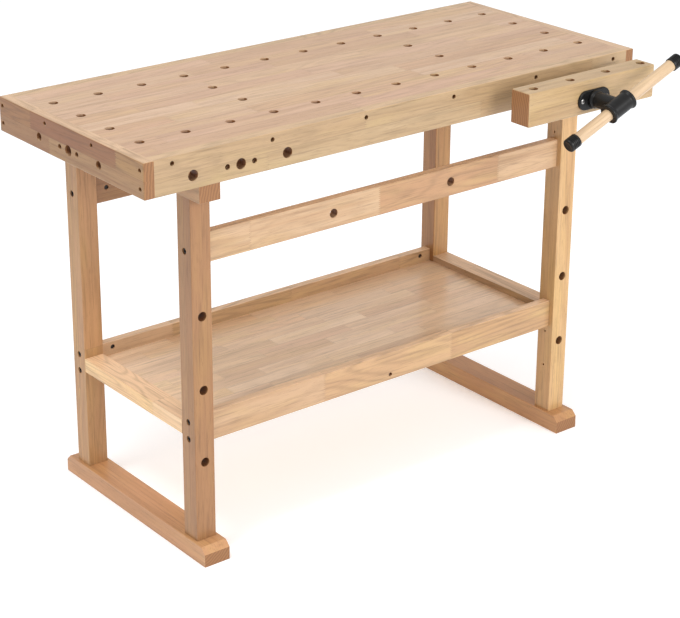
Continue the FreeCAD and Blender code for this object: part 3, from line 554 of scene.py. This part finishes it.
socketSizes = dict(tubeRadius=0.0185, rimRadius=0.021, rimLength=0.005, length=0.0606, hubRadius=0.0165,
                   collarRadius=0.019, collarLength=0.007, boreRadius=0.0123, screwRadius=0.01005,
                   screwDepth=0.040, voxel=0.0008, edge=0.0008, rimSlope=(0.001, 0.003), collarEdge=0.0006,
                   collarSlope=(0.0015, 0.002), sides=96, seatSides=64, overshoot=0.005, seatOvershoot=0.002,
                   smoothing=6, smoothAngle=40)


def makeSocket():
    s = socketSizes
    low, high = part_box("handle_socket")
    hubEnd = high.y
    centre = Vector(((low.x + high.x) / 2, low.y + s["rimRadius"], (low.z + high.z) / 2))
    hubBase = Vector((centre.x, hubEnd, centre.z))
    half = s["length"] / 2
    rim, edge = half - s["rimLength"], s["edge"]
    rimTop, rimFoot = s["rimSlope"]
    collarTop, collarFoot = s["collarSlope"]
    tube = turned("handle_socket_cast",
                  [(-half, s["rimRadius"] - edge), (-half + edge, s["rimRadius"]),
                   (-rim - rimTop, s["rimRadius"]), (-rim + rimFoot, s["tubeRadius"]),
                   (rim - rimFoot, s["tubeRadius"]), (rim + rimTop, s["rimRadius"]),
                   (half - edge, s["rimRadius"]), (half, s["rimRadius"] - edge)],
                  centre, barAxis, sides=s["sides"])
    hub = turned("hub", [(0, s["collarRadius"] - s["collarEdge"]), (s["collarEdge"], s["collarRadius"]),
                         (s["collarLength"] - collarTop, s["collarRadius"]),
                         (s["collarLength"] + collarFoot, s["hubRadius"]),
                         (hubEnd - centre.y, s["hubRadius"])],
                 hubBase, -yAxis, sides=s["sides"])
    modified(tube, "BOOLEAN", operation="UNION", solver="EXACT", object=hub)
    modified(tube, "REMESH", mode="VOXEL", voxel_size=s["voxel"])
    modified(tube, "SMOOTH", factor=0.5, iterations=s["smoothing"])
    boreEnd = half + s["overshoot"]
    bore = turned("bore", [(-boreEnd, s["boreRadius"]), (boreEnd, s["boreRadius"])],
                  centre, barAxis, sides=s["sides"])
    seat = turned("seat", [(-s["seatOvershoot"], s["screwRadius"]), (s["screwDepth"], s["screwRadius"])],
                  hubBase, -yAxis, sides=s["seatSides"])
    for cutter in (bore, seat):
        modified(tube, "BOOLEAN", operation="DIFFERENCE", solver="EXACT", object=cutter)
    for helper in (hub, bore, seat):
        bpy.data.objects.remove(helper)
    smoothed(tube, s["smoothAngle"])
    finished(tube, blackCasting, "vise_screw", "handle_socket")


makeSocket()
print("handle socket done")


capSizes = dict(radius=0.014, length=0.025, bore=0.01205, wall=0.004, ridge=0.0026, groove=0.0014,
                grooveDepth=0.0009, grooveStart=0.006, count=4, grooveSlope=0.0003, dish=(0.0006, 0.004),
                # depth and distance in from the side, over the rounded end
                endProfile=((0.0004, 0.0045), (0.0, 0.0036), (0.0004, 0.002), (0.0015, 0.0007), (0.003, 0.0)),
                mouthEdge=(0.0012, 0.0003, 0.0004), pinhole=0.002, sides=72, smoothAngle=40)


def makeCap(name, node, direction):
    s = capSizes
    low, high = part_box(node)
    middle = (low + high) / 2
    radius, half = s["radius"], s["length"] / 2
    foot = radius - s["grooveDepth"]
    edge, edgeEnd, edgeInset = s["mouthEdge"]
    rings = [s["dish"]] + [(depth, radius - inset) for depth, inset in s["endProfile"]]
    for number in range(s["count"]):
        at = s["grooveStart"] + number * (s["ridge"] + s["groove"])
        rings += [(at, radius), (at + s["grooveSlope"], foot),
                  (at + s["groove"] - s["grooveSlope"], foot), (at + s["groove"], radius)]
    rings += [(s["length"] - edge, radius), (s["length"] - edgeEnd, radius - edgeInset),
              (s["length"], radius - edge), (s["length"], s["bore"]), (s["wall"], s["bore"]),
              (s["wall"], s["pinhole"])]
    cap = turned(name, rings, middle + direction * half, -direction, sides=s["sides"])
    smoothed(cap, s["smoothAngle"])
    finished(cap, capPlastic, "handle", node)


makeCap("handle_cap_lower_ridged", "handle_cap_lower", -barAxis)
makeCap("handle_cap_upper_ridged", "handle_cap_upper", barAxis)
print("handle caps done")


barSizes = dict(radius=0.012, endRadius=0.0118, ease=0.001, taper=0.03, sides=72, smoothAngle=30)


def makeBar():
    s = barSizes
    low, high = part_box("handle_bar")
    length = 2 * ((high.x - low.x) / 2 - s["radius"] * math.sin(tilt)) / math.cos(tilt)
    half = length / 2
    endFace, ease, taper = s["endRadius"] - s["ease"], s["ease"], s["taper"]
    bar = turned("handle_bar_turned",
                 [(-half, endFace), (-half + ease, s["endRadius"]), (-half + taper, s["radius"]),
                  (0.0, s["radius"]), (half - taper, s["radius"]), (half - ease, s["endRadius"]),
                  (half, endFace)],
                 (low + high) / 2, barAxis, sides=s["sides"])
    smoothed(bar, s["smoothAngle"])
    finished(bar, barWood, "handle", "handle_bar")


makeBar()
print("handle bar done")


flangeScrewSizes = dict(headRadius=0.0049, seatRadius=0.0040, dome=0.0011, shankRadius=0.0022, length=0.020,
                        tipLength=0.005, slotWidth=0.0012, slotReach=0.0024, slotDepth=0.0016,
                        crown=0.0012, domeProfile=((0.85, 0.55), (0.4, 0.9)), tip=(0.0002, 0.0004),
                        # depth of the head's rim, of the seat's start and of its end
                        seatDepths=(0.0002, 0.0003, 0.0022), turn=25, clear=0.0001, sides=40, smoothAngle=35)


def makeFlangeScrews():
    s = flangeScrewSizes
    low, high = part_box("flange_screws")
    dome, headRadius = s["dome"], s["headRadius"]
    rim, seatFrom, seatTo = s["seatDepths"]
    tipLeft, tipRadius = s["tip"]
    heads = []
    for side, x in (("left", low.x + s["seatRadius"]), ("right", high.x - s["seatRadius"])):
        centre = Vector((x, low.y, (low.z + high.z) / 2))
        rings = [(-dome, s["crown"])]
        rings += [(-dome * depth, headRadius * share) for depth, share in s["domeProfile"]]
        rings += [(0.0, headRadius), (rim, headRadius), (seatFrom, s["seatRadius"] - 2 * s["clear"]),
                  (seatTo, s["shankRadius"]), (s["length"] - s["tipLength"], s["shankRadius"]),
                  (s["length"] - tipLeft, tipRadius)]
        screw = turned("flange_screw_" + side, rings, centre, yAxis, sides=s["sides"])
        slotCentre = centre - yAxis * (dome - s["slotDepth"] / 2 + s["clear"])
        for turn in (0, 90):
            deselect()
            bpy.ops.mesh.primitive_cube_add(size=1, location=slotCentre,
                                            rotation=(0, math.radians(turn + s["turn"]), 0))
            slot = added("slot")
            slot.scale = (2 * s["slotReach"], s["slotDepth"] + 2 * s["clear"], s["slotWidth"])
            settle(slot)
            modified(screw, "BOOLEAN", operation="DIFFERENCE", solver="EXACT", object=slot)
            bpy.data.objects.remove(slot)
        heads.append(screw)
    deselect()
    for screw in heads:
        screw.select_set(True)
    bpy.context.view_layer.objects.active = heads[0]
    bpy.ops.object.join()
    pair = added("flange_screws_domed")
    smoothed(pair, s["smoothAngle"])
    finished(pair, brightZinc, "vise_jaw", "flange_screws")


makeFlangeScrews()
print("flange screws done")


studio = dict(floorSize=60.0, floorDrop=0.0004, floorGlow=0.2, paperRoughness=0.9, paperSpecular=0.2,
              paperTones=(tone(248, 250, 253), tone(249, 251, 254)), paperCloud=0.8, worldStrength=0.78,
              # power, place, size and aim of each lamp
              front=(120.0, (0.8, -4.5, 2.4), 2.0, (0, 0, 0.5)),
              side=(85.0, (-2.2, -0.2, 4.6), 1.6, (0, 0, 0.4)))
cameraSizes = dict(place=(-2.3532, -2.8892, 1.9467), azimuth=37.557, elevation=21.366, focal=1962.5,
                   imageWidth=680.0, sensor=36.0, shiftX=0.05, shiftY=-0.087, clip=(0.05, 60))


def areaLight(name, power, place, size, aim):
    light = bpy.data.lights.new(name, "AREA")
    light.energy, light.size, light.shape = power, size, "DISK"
    holder = bpy.data.objects.new(name, light)
    bpy.context.scene.collection.objects.link(holder)
    holder.location = place
    holder.rotation_euler = (Vector(place) - Vector(aim)).to_track_quat("Z", "Y").to_euler()


def makeStudio():
    s = studio
    deselect()
    bpy.ops.mesh.primitive_plane_add(size=s["floorSize"], location=(0, 0, -s["floorDrop"]))
    floor = added("floor")
    paper = Finish("floor_paper", Roughness=s["paperRoughness"], Specular_IOR_Level=s["paperSpecular"],
                   Emission_Color=(1, 1, 1, 1), Emission_Strength=s["floorGlow"])
    cloud = paper.noise(paper.place(), scale=s["paperCloud"], detail=2.0)
    paper.feed(Base_Color=paper.mix(cloud, *s["paperTones"]))
    floor.data.materials.append(paper.material)
    world = bpy.data.worlds.new("studio")
    bpy.context.scene.world = world
    world.use_nodes = True
    background = world.node_tree.nodes["Background"]
    background.inputs["Color"].default_value = (1, 1, 1, 1)
    background.inputs["Strength"].default_value = s["worldStrength"]
    areaLight("front", *s["front"])
    areaLight("side", *s["side"])


def makeCamera():
    s = cameraSizes
    data = bpy.data.cameras.new("camera")
    camera = bpy.data.objects.new("camera", data)
    bpy.context.scene.collection.objects.link(camera)
    azimuth, elevation = math.radians(s["azimuth"]), math.radians(s["elevation"])
    forward = Vector((math.sin(azimuth) * math.cos(elevation), math.cos(azimuth) * math.cos(elevation),
                      -math.sin(elevation)))
    camera.location = s["place"]
    camera.rotation_euler = forward.to_track_quat("-Z", "Y").to_euler()
    data.sensor_width = s["sensor"]
    data.lens = s["focal"] / s["imageWidth"] * s["sensor"]
    data.shift_x, data.shift_y = s["shiftX"], s["shiftY"]
    data.clip_start, data.clip_end = s["clip"]
    bpy.context.scene.camera = camera


makeStudio()
makeCamera()
bpy.context.scene.view_settings.view_transform = "Standard"
print("studio done")
